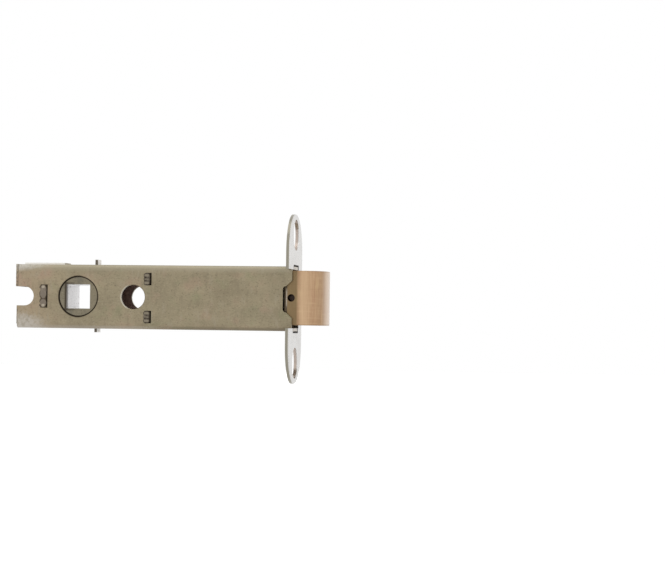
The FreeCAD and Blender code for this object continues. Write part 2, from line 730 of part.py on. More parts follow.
def make_spring(label, width, wire, turns, rear, front):
    """Open coil spring of round wire about the bolt's line, from its rear seat to its front seat."""
    coil = doc.addObject("Part::Helix", label + "_path")
    run = f"({front}) - ({rear}) - {wire} - 2 * spring_seat_gap"
    bind(coil, "Radius", f"({width} - {wire}) / 2")
    bind(coil, "Height", run)
    bind(coil, "Pitch", f"({run}) / {turns}")
    section = doc.addObject("Part::Circle", label + "_wire")
    bind(section, "Radius", f"{wire} / 2")
    bind(section, "Placement.Base.x", f"({width} - {wire}) / 2")
    section.Placement.Rotation = FreeCAD.Rotation(FreeCAD.Vector(1, 0, 0), 90)
    spring = doc.addObject("Part::Sweep", label)
    spring.Label = label
    spring.Sections = [section]
    spring.Spine = (coil, [])
    spring.Solid = True
    spring.Frenet = True
    spring.Placement.Rotation = FreeCAD.Rotation(FreeCAD.Vector(0, 1, 0), 90)
    bind(spring, "Placement.Base.x", f"({rear}) + {wire} / 2 + spring_seat_gap")
    bind(spring, "Placement.Base.z", "bolt_rise")
    doc.recompute()
    return spring


pieces = [
    make_case_channel(),
    make_back_cover(),
    make_forend_plate(),
    make_bridge_plate(),
    make_rear_spacer(),
    make_latch_bolt(),
    make_bolt_stem(),
    make_bolt_pin(),
    make_spring_plate(),
    make_stem_clip(),
    make_draw_yoke(),
    make_follower(),
    make_spring(
        "bolt_spring",
        "bolt_spring_width",
        "bolt_spring_wire",
        "bolt_spring_turns",
        "-yoke_front",
        "-bolt_heel - plate_sheet",
    ),
    make_spring(
        "lever_spring",
        "lever_spring_width",
        "lever_spring_wire",
        "lever_spring_turns",
        "-bridge_front",
        "-yoke_front - yoke_sheet",
    ),
]

doc.recompute()
for thing in doc.Objects:
    if "Invalid" in thing.State or "Error" in thing.State:
        raise ValueError(f"{thing.Label} failed: {thing.State}")
os.makedirs("parts", exist_ok=True)
for piece in pieces:
    if piece.Shape.isNull() or not piece.Shape.isValid():
        raise ValueError(f"{piece.Label} has no valid shape")
    piece.Shape.exportStep(f"parts/{piece.Label}.step")
    box = piece.Shape.BoundBox
    print(piece.Label, len(piece.Shape.Solids), round(piece.Shape.Volume, 1), box)
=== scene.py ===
import bpy
import math
from mathutils import Matrix, Vector


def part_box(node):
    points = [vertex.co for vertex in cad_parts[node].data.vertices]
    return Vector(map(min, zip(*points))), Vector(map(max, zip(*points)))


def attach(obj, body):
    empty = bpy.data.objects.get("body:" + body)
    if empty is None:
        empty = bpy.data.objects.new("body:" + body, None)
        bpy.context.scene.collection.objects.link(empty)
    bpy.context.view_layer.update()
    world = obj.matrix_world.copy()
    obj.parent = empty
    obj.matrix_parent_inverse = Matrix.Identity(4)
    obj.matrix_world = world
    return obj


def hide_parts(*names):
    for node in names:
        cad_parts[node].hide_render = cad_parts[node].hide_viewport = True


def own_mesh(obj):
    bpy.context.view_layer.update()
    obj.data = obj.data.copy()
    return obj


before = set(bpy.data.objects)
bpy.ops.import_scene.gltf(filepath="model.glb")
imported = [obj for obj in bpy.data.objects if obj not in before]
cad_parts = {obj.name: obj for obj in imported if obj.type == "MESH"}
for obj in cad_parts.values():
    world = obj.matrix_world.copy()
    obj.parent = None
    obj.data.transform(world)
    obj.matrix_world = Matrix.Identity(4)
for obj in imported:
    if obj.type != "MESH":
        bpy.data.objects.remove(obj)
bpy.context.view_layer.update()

# ---------------------------------------------------------------- camera
# The latch is seen almost square to its near cheek, from a little beyond the forend, through a
# long lens about 0.6 m away.
camera_turn = (
    Matrix.Rotation(math.radians(0.77), 3, "Y")
    @ Matrix.Rotation(math.radians(-1.06), 3, "X")
    @ Matrix.Rotation(math.radians(-8.52), 3, "Z")
)
camera_place = camera_turn.transposed() @ Vector((0.01248, -0.6197, 0.00191))
facing = camera_turn.transposed() @ Matrix.Rotation(math.radians(90), 3, "X")
camera = bpy.data.objects.new("camera", bpy.data.cameras.new("camera"))
bpy.context.scene.collection.objects.link(camera)
camera.matrix_world = Matrix.Translation(camera_place) @ facing.to_4x4()
camera.data.sensor_width = 36
camera.data.lens = 99.36
camera.data.clip_start = 0.01
bpy.context.scene.camera = camera


# ---------------------------------------------------------------- folded case
# A channel of 1 mm steel strip and a thinner cover folded round its rear end, zinc plated and
# passivated to a thin olive yellow. Rolling lines run along it, and the plate is mottled.
def shade(red, green, blue):
    """Colour as it looks on a screen, 0 to 255, turned into the shader's linear values."""
    parts = [value / 255 for value in (red, green, blue)]
    return [p / 12.92 if p <= 0.04045 else ((p + 0.055) / 1.055) ** 2.4 for p in parts] + [1]


class Finish:
    """One metal's material: a shader, and the nodes that vary it over the surface."""

    def __init__(self, name, metal, rough, colour):
        self.material = bpy.data.materials.new(name)
        self.material.use_nodes = True
        self.tree = self.material.node_tree
        self.shader = self.tree.nodes["Principled BSDF"]
        self.shader.inputs["Metallic"].default_value = metal
        self.shader.inputs["Roughness"].default_value = rough
        self.place = self.tree.nodes.new("ShaderNodeTexCoord").outputs["Object"]
        self.colour = self.tree.nodes.new("ShaderNodeRGB").outputs[0]
        self.colour.default_value = shade(*colour)

    def node(self, kind, **inputs):
        node = self.tree.nodes.new(kind)
        for key, value in inputs.items():
            socket = node.inputs[int(key[1:])] if key[0] == "_" else node.inputs[key]
            if isinstance(value, bpy.types.NodeSocket):
                self.tree.links.new(value, socket)
            else:
                socket.default_value = value
        return node

    def grain(self, size, stretch=(1, 1, 1), detail=3, rough=0.55, seed=0):
        """Noise with spots of this size in metres, longer along the axes that stretch names."""
        move = self.node("ShaderNodeMapping", Vector=self.place)
        move.inputs["Location"].default_value = (seed * 0.37, seed * 0.21, seed * 0.13)
        move.inputs["Scale"].default_value = [1 / value for value in stretch]
        noise = self.node("ShaderNodeTexNoise", Vector=move.outputs[0], Scale=1 / size)
        noise.inputs["Detail"].default_value = detail
        noise.inputs["Roughness"].default_value = rough
        return noise.outputs[0]

    def between(self, value, low, high):
        """0 below low, 1 above high; the other way round where low is above high."""
        node = self.node("ShaderNodeMapRange", Value=value)
        node.interpolation_type = "SMOOTHSTEP"
        flip = low > high
        node.inputs["From Min"].default_value = high if flip else low
        node.inputs["From Max"].default_value = low if flip else high
        node.inputs["To Min"].default_value = 1 if flip else 0
        node.inputs["To Max"].default_value = 0 if flip else 1
        return node.outputs[0]

    def band(self, value, start, full, fading, end):
        """1 from full to fading, 0 below start and above end."""
        return self.times(self.between(value, start, full), self.between(value, end, fading))

    def math(self, operation, first, second=0):
        node = self.node("ShaderNodeMath", _0=first, _1=second)
        node.operation = operation
        return node.outputs[0]

    def times(self, first, second):
        return self.math("MULTIPLY", first, second)

    def tint(self, colour, amount, share=1.0):
        """Lay another colour over the surface where amount is high."""
        if share != 1.0:
            amount = self.times(amount, share)
        mix = self.tree.nodes.new("ShaderNodeMix")
        mix.data_type = "RGBA"
        self.tree.links.new(amount, mix.inputs["Factor"])
        self.tree.links.new(self.colour, mix.inputs["A"])
        mix.inputs["B"].default_value = shade(*colour)
        self.colour = mix.outputs["Result"]

    def along(self, axis):
        """Position along X, Y or Z in metres."""
        return self.node("ShaderNodeSeparateXYZ", Vector=self.place).outputs[axis]

    def ramp(self, axis, low, high):
        """0 below low and 1 above high along one axis, or the other way round as in between."""
        return self.between(self.along(axis), low, high)

    def away(self, axis, place=0):
        """Distance in metres from a place along one axis."""
        return self.math("ABSOLUTE", self.math("SUBTRACT", self.along(axis), place))

    def from_axis(self, x, z):
        """Distance from a line along Y through this place."""
        flat = self.node("ShaderNodeVectorMath", _0=self.place, _1=(1, 0, 1))
        flat.operation = "MULTIPLY"
        far = self.node("ShaderNodeVectorMath", _0=flat.outputs[0], _1=(x, 0, z))
        far.operation = "DISTANCE"
        return far.outputs["Value"]

    def roughness(self, value, low, high):
        node = self.node("ShaderNodeMapRange", Value=value)
        node.inputs["To Min"].default_value = low
        node.inputs["To Max"].default_value = high
        self.tree.links.new(node.outputs[0], self.shader.inputs["Roughness"])

    def bump(self, height, depth, strength=1.0):
        """Relief of this depth in metres."""
        node = self.node("ShaderNodeBump", Height=height, Strength=strength, Distance=depth)
        before = self.shader.inputs["Normal"]
        if before.is_linked:
            self.tree.links.new(before.links[0].from_socket, node.inputs["Normal"])
        self.tree.links.new(node.outputs[0], before)

    def done(self):
        self.tree.links.new(self.colour, self.shader.inputs["Base Color"])
        return self.material


def coat(piece, material):
    """Put the material on a piece or on a CAD node, in all its slots."""
    slots = piece.data.materials
    slots.clear()
    slots.append(material)


def smooth_copy(node, name, angle=35):
    """Merged copy of a CAD node's mesh with smooth shading, that stands for the node."""
    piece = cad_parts[node].copy()
    piece.data = piece.data.copy()
    piece.name = name
    bpy.context.scene.collection.objects.link(piece)
    bpy.ops.object.select_all(action="DESELECT")
    piece.select_set(True)
    bpy.context.view_layer.objects.active = piece
    bpy.ops.object.mode_set(mode="EDIT")
    bpy.ops.mesh.select_all(action="SELECT")
    bpy.ops.mesh.remove_doubles(threshold=1e-6)
    bpy.ops.object.mode_set(mode="OBJECT")
    bpy.ops.mesh.customdata_custom_splitnormals_clear()
    bpy.ops.object.shade_smooth_by_angle(angle=math.radians(angle))
    even = piece.modifiers.new("even", "WEIGHTED_NORMAL")
    even.keep_sharp = True
    bpy.ops.object.modifier_apply(modifier="even")
    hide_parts(node)
    return piece


spindle = -0.0735
fixing_hole = -0.0545
passivate = Finish("zinc_passivate", metal=0.7, rough=0.42, colour=(148, 137, 112))
cloud = passivate.grain(0.009, stretch=(1.8, 1, 1), detail=4, rough=0.6)
passivate.tint((163, 150, 123), passivate.between(cloud, 0.46, 0.68), 0.65)
passivate.tint((133, 122, 99), passivate.between(cloud, 0.52, 0.32), 0.5)
height = passivate.away("Z")
tail = passivate.ramp("X", -0.076, -0.092)
passivate.tint((176, 154, 128), tail, 0.45)
rust = passivate.grain(0.007, detail=3, seed=3)
rust = passivate.between(rust, 0.5, 0.72)
passivate.tint((168, 140, 121), rust, 0.35)
passivate.tint((168, 140, 121), passivate.times(rust, tail), 0.5)
green = passivate.between(passivate.grain(0.006, seed=5), 0.52, 0.76)
passivate.tint((134, 137, 104), green, 0.4)
smear = passivate.grain(0.0016, stretch=(1, 1, 3), detail=3, seed=13)
passivate.tint((160, 150, 130), passivate.between(smear, 0.54, 0.74), 0.45)
passivate.tint((128, 117, 96), passivate.between(smear, 0.46, 0.28), 0.4)
speck = passivate.grain(0.00035, stretch=(1.6, 1, 1), detail=2, seed=7)
passivate.tint((170, 158, 133), passivate.between(speck, 0.56, 0.76), 0.5)
passivate.tint((110, 99, 80), passivate.between(speck, 0.44, 0.26), 0.6)
lines = passivate.grain(0.00022, stretch=(60, 1, 1), detail=2, seed=9)
passivate.tint((180, 169, 146), passivate.between(lines, 0.64, 0.78), 0.4)
# painted shade along the top and bottom folds
fold_shade = passivate.band(height, 0.0088, 0.0094, 0.0097, 0.0102)
passivate.tint((138, 118, 99), fold_shade, 0.12)
# painted shade along the bottom fold ahead of the fixing hole; behind it the same fold is tinted
# lighter
under = passivate.ramp("Z", -0.0095, -0.0102)
ahead = passivate.ramp("X", -0.054, -0.034)
passivate.tint((104, 94, 78), passivate.times(under, ahead), 0.5)
behind = passivate.ramp("X", -0.040, -0.056)
passivate.tint((172, 163, 154), passivate.times(under, behind), 0.4)
# painted reflection: pinkish brown light painted on the walls inside the case behind the fixing
# hole
inside = passivate.band(passivate.along("Y"), -0.0066, -0.0064, 0.0069, 0.0071)
inside = passivate.times(inside, passivate.between(height, 0.00988, 0.00978))
round_hole = passivate.between(passivate.from_axis(-0.0570, 0), 0.0100, 0.0060)
inside = passivate.times(inside, round_hole)
passivate.tint((198, 160, 150), inside, 0.8)
# painted highlight along the top fold
top_fold_highlight = passivate.ramp("Z", 0.0080, 0.0102)
passivate.tint((170, 162, 140), top_fold_highlight, 0.6)
blotch = passivate.grain(0.0011, detail=5, rough=0.75, seed=11)
# zinc worn to bare steel at the rear end and along the folds beside it
near_end = passivate.times(passivate.ramp("X", -0.082, -0.0950), 0.5)
near_top = passivate.times(passivate.ramp("Z", 0.0076, 0.0106), 0.6)
near_foot = passivate.times(passivate.ramp("Z", -0.0036, -0.0090), 0.6)
near_edge = passivate.math("ADD", near_top, near_foot)
worn = passivate.math("ADD", near_end, near_edge)
worn = passivate.math("ADD", worn, passivate.times(blotch, 0.8))
corner = passivate.times(passivate.between(worn, 0.85, 1.5), passivate.between(near_end, 0.0, 0.12))
rear_face = passivate.times(passivate.ramp("X", -0.0951, -0.0955), 0.7)
corner = passivate.times(corner, passivate.math("SUBTRACT", 1.0, rear_face))
passivate.tint((196, 192, 184), corner, 0.65)
pocks = passivate.between(blotch, 0.5, 0.38)
passivate.tint((140, 130, 110), passivate.times(corner, pocks), 0.5)
shear = passivate.ramp("X", -0.0946, -0.0949)
shear = passivate.times(shear, passivate.between(blotch, 0.42, 0.56))
cheek_end = passivate.ramp("Y", -0.0061, -0.0065)
passivate.tint((96, 84, 68), passivate.times(shear, cheek_end), 0.7)
# bare steel burr on the fixing hole with a painted highlight on its left side, and painted shade in
# the gap round the follower
rim = passivate.from_axis(fixing_hole, 0)
left_of_hole = passivate.ramp("X", -0.0555, -0.0570)
burr_and_highlight = passivate.times(passivate.between(rim, 0.00445, 0.0043), left_of_hole)
passivate.tint((206, 199, 182), burr_and_highlight, 0.75)
# painted shade in the gap round the follower, on its left side
follower_gap_shade = passivate.between(passivate.from_axis(spindle, 0), 0.0073, 0.0070)
follower_gap_shade = passivate.times(follower_gap_shade, passivate.ramp("X", -0.0700, -0.0745))
passivate.tint((62, 51, 38), follower_gap_shade, 0.9)
# cut ends of the tabs in the forend, and a painted highlight on the edge of the cover's flap on the
# roof
stake_end = passivate.ramp("X", -0.0003, -0.0001)
stake_end = passivate.times(stake_end, passivate.between(height, 0.0098, 0.0099))
passivate.tint((216, 210, 200), stake_end, 0.85)
flap_highlight = passivate.times(passivate.ramp("Z", 0.01088, 0.01092), passivate.ramp("Y", 0.0003, 0.0001))
passivate.tint((248, 246, 240), flap_highlight, 0.95)
passivate.roughness(cloud, 0.34, 0.5)
passivate.bump(speck, 0.00002)
passivate.bump(lines, 0.000012)
passivate.bump(blotch, 0.00003, 0.5)
case_metal = passivate.done()
for node in ("case_channel", "back_cover"):
    piece = smooth_copy(node, node + "_plated")
    coat(piece, case_metal)
    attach(piece, "case")

# ---------------------------------------------------------------- forend plate
# Round-ended plate of 1.2 mm steel, bright plated, with its face polished across and the edge
# left as the press cut it. The case's two tabs are hammered over into it.
plating = 0.85
bright = Finish("bright_plate", metal=plating, rough=0.24, colour=(212, 210, 207))
fog = bright.grain(0.006, detail=4)
bright.tint((198, 195, 190), bright.between(fog, 0.5, 0.75), 0.5)
hair = bright.grain(0.0002, stretch=(1, 30, 1), detail=2, seed=2)
bright.tint((180, 176, 170), bright.between(hair, 0.60, 0.78), 0.35)
edge = bright.ramp("X", -0.00022, -0.0003)
bright.tint((143, 138, 123), edge, 0.95)
# walls of the two screw holes, seen where the near edge is thin
screw_level = 0.0216
screw = bright.math("ABSOLUTE", bright.math("SUBTRACT", bright.away("Z"), screw_level))
screw = bright.math("MAXIMUM", screw, bright.away("Y"))
screw = bright.times(bright.between(screw, 0.0053, 0.0052), edge)
bright.tint((190, 176, 166), screw, 0.9)
# shadow in the slots round the case's tabs, on the front face only
slot = bright.band(bright.away("Z"), 0.0097, 0.00975, 0.01145, 0.01155)
slot = bright.times(slot, bright.band(bright.along("Y"), -0.0047, -0.0045, 0.0053, 0.0056))
slot = bright.times(slot, bright.ramp("X", -0.0004, -0.0002))
bright.tint((34, 30, 26), slot, 0.97)
bright.roughness(fog, 0.2, 0.34)
sheen = bright.shader.inputs["Roughness"].links[0].from_socket
dull = bright.math("MAXIMUM", sheen, bright.times(slot, 0.95))
bright.tree.links.new(dull, bright.shader.inputs["Roughness"])
plated = bright.math("SUBTRACT", plating, bright.times(slot, plating))
bright.tree.links.new(plated, bright.shader.inputs["Metallic"])
bright.bump(hair, 0.00001)
piece = smooth_copy("forend_plate", "forend_plate_bright")
coat(piece, bright.done())
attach(piece, "case")

# ---------------------------------------------------------------- bridge plate and rear spacer
# Two cross plates of 1.8 and 1.95 mm strip. Their tabs go through both cheeks and are staked with a
# chisel, which leaves the heads dull, dented and grey.
staked = Finish("staked_steel", metal=0.75, rough=0.5, colour=(88, 80, 69))
dent = staked.grain(0.0009, detail=3, seed=4)
staked.tint((134, 125, 111), staked.between(dent, 0.5, 0.68), 0.85)
staked.tint((46, 39, 32), staked.between(dent, 0.48, 0.32), 0.85)
rear = staked.ramp("X", -0.07, -0.08)
fore = staked.ramp("X", -0.08, -0.07)
staked.tint((136, 125, 112), rear, 0.75)
# rear spacer's heads: painted highlights as two bright spots, painted shade in a pinched waist and
# round the rim
spacer_middle = -0.0858
height = staked.away("Z")
middle = staked.away("X", spacer_middle)
spot_highlight = staked.math("ABSOLUTE", staked.math("SUBTRACT", height, 0.0031))
spot_highlight = staked.between(spot_highlight, 0.0006, 0.0001)
spot_highlight = staked.times(spot_highlight, staked.between(middle, 0.0008, 0.0002))
staked.tint((214, 204, 182), staked.times(spot_highlight, rear), 0.5)
waist = staked.times(staked.between(staked.away("Z", -0.0009), 0.0004, 0.0001), rear)
staked.tint((74, 62, 52), waist, 0.7)
pinch = staked.between(staked.away("Z", -0.0008), 0.0012, 0.0001)
narrow = staked.math("MAXIMUM", pinch, staked.between(height, 0.0026, 0.0037))
rim = staked.math("ADD", middle, staked.times(narrow, 0.0006))
rim = staked.between(rim, 0.00098, 0.00118)
staked.tint((76, 64, 48), staked.times(rim, rear), 0.8)
# bridge plate's heads: painted highlights on three ridges between two grooves, and painted shade
# round the rim
bridge_middle = -0.0497
tab_level = 0.0064
middle = staked.away("X", bridge_middle)
level = staked.math("SUBTRACT", staked.away("Z", -0.0003), tab_level)
level = staked.math("ABSOLUTE", level)
lobe = staked.band(level, 0.0007, 0.0011, 0.0015, 0.0018)
ridge_highlight = staked.math("MAXIMUM", lobe, staked.between(level, 0.0002, 0.0001))
ridge_highlight = staked.times(ridge_highlight, staked.between(middle, 0.0010, 0.0006))
staked.tint((64, 56, 47), fore, 0.35)
staked.tint((150, 140, 121), staked.times(ridge_highlight, fore), 0.7)
narrow = staked.between(level, 0.0012, 0.0021)
rim = staked.math("ADD", middle, staked.times(narrow, 0.0006))
rim = staked.between(rim, 0.00092, 0.00112)
staked.tint((58, 48, 36), staked.times(rim, fore), 0.8)
staked.roughness(dent, 0.4, 0.6)
staked.bump(dent, 0.00008)
stake_metal = staked.done()
for node in ("bridge_plate", "rear_spacer"):
    piece = smooth_copy(node, node + "_staked")
    coat(piece, stake_metal)
    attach(piece, "case")


def pick(piece, test):
    """Select in edit mode the edges whose two ends pass the test."""
    bpy.ops.object.mode_set(mode="EDIT")
    bpy.ops.mesh.select_mode(type="EDGE")
    bpy.ops.mesh.select_all(action="DESELECT")
    bpy.ops.object.mode_set(mode="OBJECT")
    places = piece.data.vertices
    for edge in piece.data.edges:
        edge.select = test(*[places[end].co for end in edge.vertices])
    bpy.ops.object.mode_set(mode="EDIT")


def at_level(level, *ends):
    return all(abs(end.z - level) < 1e-5 for end in ends)


def stake_heads(node, levels, height, corner, grooves, reach, waist):
    """Ends of a plate's tabs as the chisel spread them: rounded, lapped over the rear lip of the
    slot, and narrowed at the grooves across them."""
    cheek, thickness, groove_depth = 0.0075, 0.0007, 0.00016
    rear_lap, front_lap = 0.00045, 0.00005
    low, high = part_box(node)
    left, right = low[0] - rear_lap, high[0] + front_lap
    heads = []
    for side in (-1, 1):
        for level in levels:
            centre = Vector(((left + right) / 2, side * cheek, level))
            bpy.ops.object.select_all(action="DESELECT")
            bpy.ops.mesh.primitive_cube_add(
                size=1, location=centre, scale=(right - left, thickness, height)
            )
            head = bpy.context.object
            bpy.ops.object.transform_apply(location=True, rotation=True, scale=True)
            pick(head, lambda a, b: abs(a.y - b.y) > 0.0005)
            bpy.ops.mesh.bevel(offset=corner, segments=6)
            for groove in grooves:
                at = level + groove
                for step in (-reach, 0, reach):
                    bpy.ops.mesh.select_all(action="SELECT")
                    bpy.ops.mesh.bisect(plane_co=(0, 0, at + step), plane_no=(0, 0, 1))
                pick(head, lambda a, b: at_level(at, a, b))
                bpy.ops.transform.resize(value=(waist, 1, 1), center_override=centre)
                pick(
                    head,
                    lambda a, b: at_level(at, a, b) and min(side * a.y, side * b.y) > cheek,
                )
                bpy.ops.transform.translate(value=(0, -side * groove_depth, 0))
            bpy.ops.object.mode_set(mode="OBJECT")
            soft = head.modifiers.new("soft", "BEVEL")
            soft.width = 0.0001
            soft.segments = 3
            soft.limit_method = "ANGLE"
            soft.angle_limit = math.radians(40)
            bpy.ops.object.modifier_apply(modifier="soft")
            bpy.ops.object.shade_smooth_by_angle(angle=math.radians(40))
            heads.append(head)
    for head in heads:
        head.select_set(True)
    bpy.ops.object.join()
    piece = bpy.context.object
    piece.name = node + "_heads"
    coat(piece, stake_metal)
    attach(piece, "case")


stake_heads("bridge_plate", (0.0061, -0.0067), 0.0041, 0.0008, (0.0006, -0.0006), 0.00045, 0.88)
stake_heads("rear_spacer", (0,), 0.0076, 0.0009, (-0.0007, 0.0022, -0.0026), 0.0011, 0.66)

# ---------------------------------------------------------------- latch bolt
# Sintered bronze bolt with one side curved to ride over the strike. It was brushed across the nose,
# so fine lines run along Z, and its tip carries a painted highlight.
bronze = Finish("brushed_bronze", metal=0.85, rough=0.34, colour=(172, 141, 110))
brush = bronze.grain(0.00016, stretch=(1, 1, 45), detail=2)
bronze.tint((200, 170, 138), bronze.between(brush, 0.54, 0.74), 0.6)
bronze.tint((138, 108, 80), bronze.between(brush, 0.46, 0.28), 0.6)
patch = bronze.grain(0.003, stretch=(1, 1, 2), detail=4, rough=0.65, seed=3)
bronze.tint((160, 124, 98), bronze.between(patch, 0.5, 0.72), 0.6)
bronze.tint((190, 164, 124), bronze.between(patch, 0.48, 0.28), 0.5)
stroke = bronze.grain(0.00042, stretch=(1, 1, 30), detail=2, seed=6)
bronze.tint((208, 178, 144), bronze.between(stroke, 0.54, 0.72), 0.4)
bronze.tint((146, 114, 86), bronze.between(stroke, 0.46, 0.28), 0.4)
cross = bronze.grain(0.0005, stretch=(16, 16, 1), detail=2, seed=5)
bronze.tint((196, 168, 134), bronze.between(cross, 0.56, 0.74), 0.35)
bronze.tint((144, 116, 88), bronze.between(cross, 0.44, 0.26), 0.3)
# painted light along the curved side, from the forend outwards: a highlight on the shoulder, shade
# in a dip beyond it and a highlight at the tip
shoulder_highlight = bronze.band(bronze.along("X"), 0.0016, 0.0034, 0.0036, 0.0072)
bronze.tint((216, 184, 147), shoulder_highlight, 0.55)
dip_shade = bronze.away("X", 0.0074)
bronze.tint((146, 117, 88), bronze.between(dip_shade, 0.0020, 0.0004), 0.2)
tip_highlight = bronze.ramp("X", 0.0091, 0.0113)
bronze.tint((228, 212, 196), tip_highlight, 0.8)
# painted shade on the flat side
flat = bronze.ramp("X", 0.0020, 0.0012)
bronze.tint((121, 103, 72), flat, 0.85)
# painted shade along the top and bottom edges and in the mouth of the pin hole
bolt_line = 0.0003
arris_shade = bronze.away("Z", bolt_line)
bronze.tint((132, 103, 76), bronze.between(arris_shade, 0.0086, 0.0090), 0.3)
pin_place = -0.00043
mouth_shade = bronze.between(bronze.from_axis(pin_place, bolt_line), 0.00132, 0.00122)
bronze.tint((60, 44, 36), mouth_shade, 0.85)
bronze.roughness(brush, 0.26, 0.42)
bronze.bump(brush, 0.00002)
piece = smooth_copy("latch_bolt", "latch_bolt_brushed")
coat(piece, bronze.done())
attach(piece, "bolt")

# ---------------------------------------------------------------- stem, pin, spring plate and clip
# Small turned and stamped steel pieces that join the bolt to the yoke. The stem and the clip are
# zinc plated, the pin is painted dark as shade, and the spring plate has painted shade and a
# painted highlight on its edge.
zinc = Finish("zinc_plate", metal=0.85, rough=0.34, colour=(138, 131, 118))
turned = zinc.grain(0.0004, stretch=(0.3, 1, 1), detail=3)
zinc.tint((168, 161, 147), zinc.between(turned, 0.52, 0.76), 0.6)
zinc.tint((112, 107, 97), zinc.between(turned, 0.46, 0.28), 0.6)
zinc.roughness(turned, 0.26, 0.42)
zinc.bump(turned, 0.00002)
zinc_metal = zinc.done()
# the pin is painted dark as the shade in its recess
pin_shaded = Finish("pin_steel_painted_shade", metal=0.6, rough=0.5, colour=(70, 54, 47))
pin_speckle = pin_shaded.grain(0.0004, detail=3, seed=2)
pin_shaded.tint((104, 84, 72), pin_shaded.between(pin_speckle, 0.54, 0.74), 0.6)
pin_shaded.tint((40, 30, 26), pin_shaded.between(pin_speckle, 0.46, 0.3), 0.6)
pin_shaded.roughness(pin_speckle, 0.4, 0.6)
pin_shaded.bump(pin_speckle, 0.00003)
pin_shaded_metal = pin_shaded.done()
# spring plate painted dark as shade in the gap, with a painted highlight along its edge
plate_shaded = Finish("spring_plate_painted_light", metal=0.7, rough=0.45, colour=(92, 80, 62))
lip = plate_shaded.between(plate_shaded.away("X", -0.00190), 0.00034, 0.00016)
span = plate_shaded.between(plate_shaded.away("Z", bolt_line), 0.0036, 0.0018)
edge_highlight = plate_shaded.times(lip, span)
plate_shaded.tint((190, 178, 160), edge_highlight, 0.85)
plate_shaded_metal = plate_shaded.done()
metals = {"bolt_pin": pin_shaded_metal, "spring_plate": plate_shaded_metal}
for node in ("bolt_stem", "bolt_pin", "spring_plate", "stem_clip"):
    piece = smooth_copy(node, node + "_zinc")
    coat(piece, metals.get(node, zinc_metal))
    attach(piece, "bolt")

# ---------------------------------------------------------------- draw yoke
# Steel strip bent to a U round the heavy spring, plated, with rub marks along its legs.
strip = Finish("yoke_strip", metal=0.8, rough=0.4, colour=(140, 133, 118))
rub = strip.grain(0.0004, stretch=(30, 1, 1), detail=3)
strip.tint((176, 170, 156), strip.between(rub, 0.54, 0.76), 0.6)
strip.tint((104, 97, 84), strip.between(strip.grain(0.004, seed=2), 0.5, 0.3), 0.6)
# painted highlight on the lugs' front faces and painted shade on their near ends
lug = strip.between(strip.away("Z"), 0.0094, 0.0098)
front = strip.times(lug, strip.ramp("X", -0.06842, -0.06838))
strip.tint((236, 232, 226), front, 0.9)
side = strip.times(lug, strip.ramp("Y", -0.00210, -0.00214))
strip.tint((104, 96, 86), side, 0.9)
strip.roughness(rub, 0.32, 0.5)
strip.bump(rub, 0.00002)
piece = smooth_copy("draw_yoke", "draw_yoke_strip")
coat(piece, strip.done())
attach(piece, "yoke")

# ---------------------------------------------------------------- follower
# Pressed-metal follower with an 8 mm square hole. Its end faces are dull and finely pitted, and the
# square's walls show broach marks under a painted near-white highlight.
cast = Finish("follower_metal", metal=0.65, rough=0.48, colour=(128, 120, 101))
pit = cast.grain(0.0005, detail=4)
cast.tint((152, 143, 122), cast.between(pit, 0.52, 0.74), 0.7)
cast.tint((84, 76, 61), cast.between(pit, 0.46, 0.28), 0.7)
cast.tint((104, 100, 88), cast.between(cast.grain(0.004, seed=6), 0.45, 0.7), 0.7)
# painted light: the face is lighter towards the right
cast.tint((136, 126, 104), cast.ramp("X", -0.0715, -0.0675), 0.5)
reach = cast.node("ShaderNodeVectorMath", _0=cast.place, _1=(-spindle, 0, 0))
reach.operation = "ADD"
apart = cast.node("ShaderNodeVectorMath", _0=reach.outputs[0])
apart.operation = "ABSOLUTE"
sides = cast.node("ShaderNodeSeparateXYZ", Vector=apart.outputs[0])
widest = cast.math("MAXIMUM", sides.outputs["X"], sides.outputs["Z"])
# painted highlight: the square's walls are painted near white over their broach marks
wall = cast.between(widest, 0.00412, 0.00406)
broach = cast.grain(0.0005, stretch=(1, 3, 1), detail=3, seed=8)
cast.tint((244, 243, 243), wall, 0.97)
cast.tint((190, 186, 182), cast.times(wall, cast.between(broach, 0.56, 0.7)), 0.6)
# painted shade round the left half of the square's edge and at its mouth
left = cast.ramp("X", -0.0770, -0.0774)
line = cast.band(widest, 0.00406, 0.00412, 0.0046, 0.0050)
cast.tint((58, 50, 40), cast.times(line, left), 0.85)
beside = cast.ramp("X", -0.0735, -0.0762)
cast.tint((70, 62, 50), cast.times(line, beside), 0.6)
mouth_shade = cast.times(cast.ramp("Y", -0.0058, -0.0064), cast.ramp("X", -0.0766, -0.0774))
cast.tint((66, 58, 48), cast.times(wall, mouth_shade), 0.75)
# painted shade in the gap round the follower's collar
collar_gap_shade = cast.between(cast.from_axis(spindle, 0), 0.00645, 0.00662)
cast.tint((58, 48, 37), collar_gap_shade, 0.9)
cast.roughness(pit, 0.36, 0.56)
cast.bump(pit, 0.00003)
piece = smooth_copy("follower", "follower_pressed")
coat(piece, cast.done())
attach(piece, "follower")

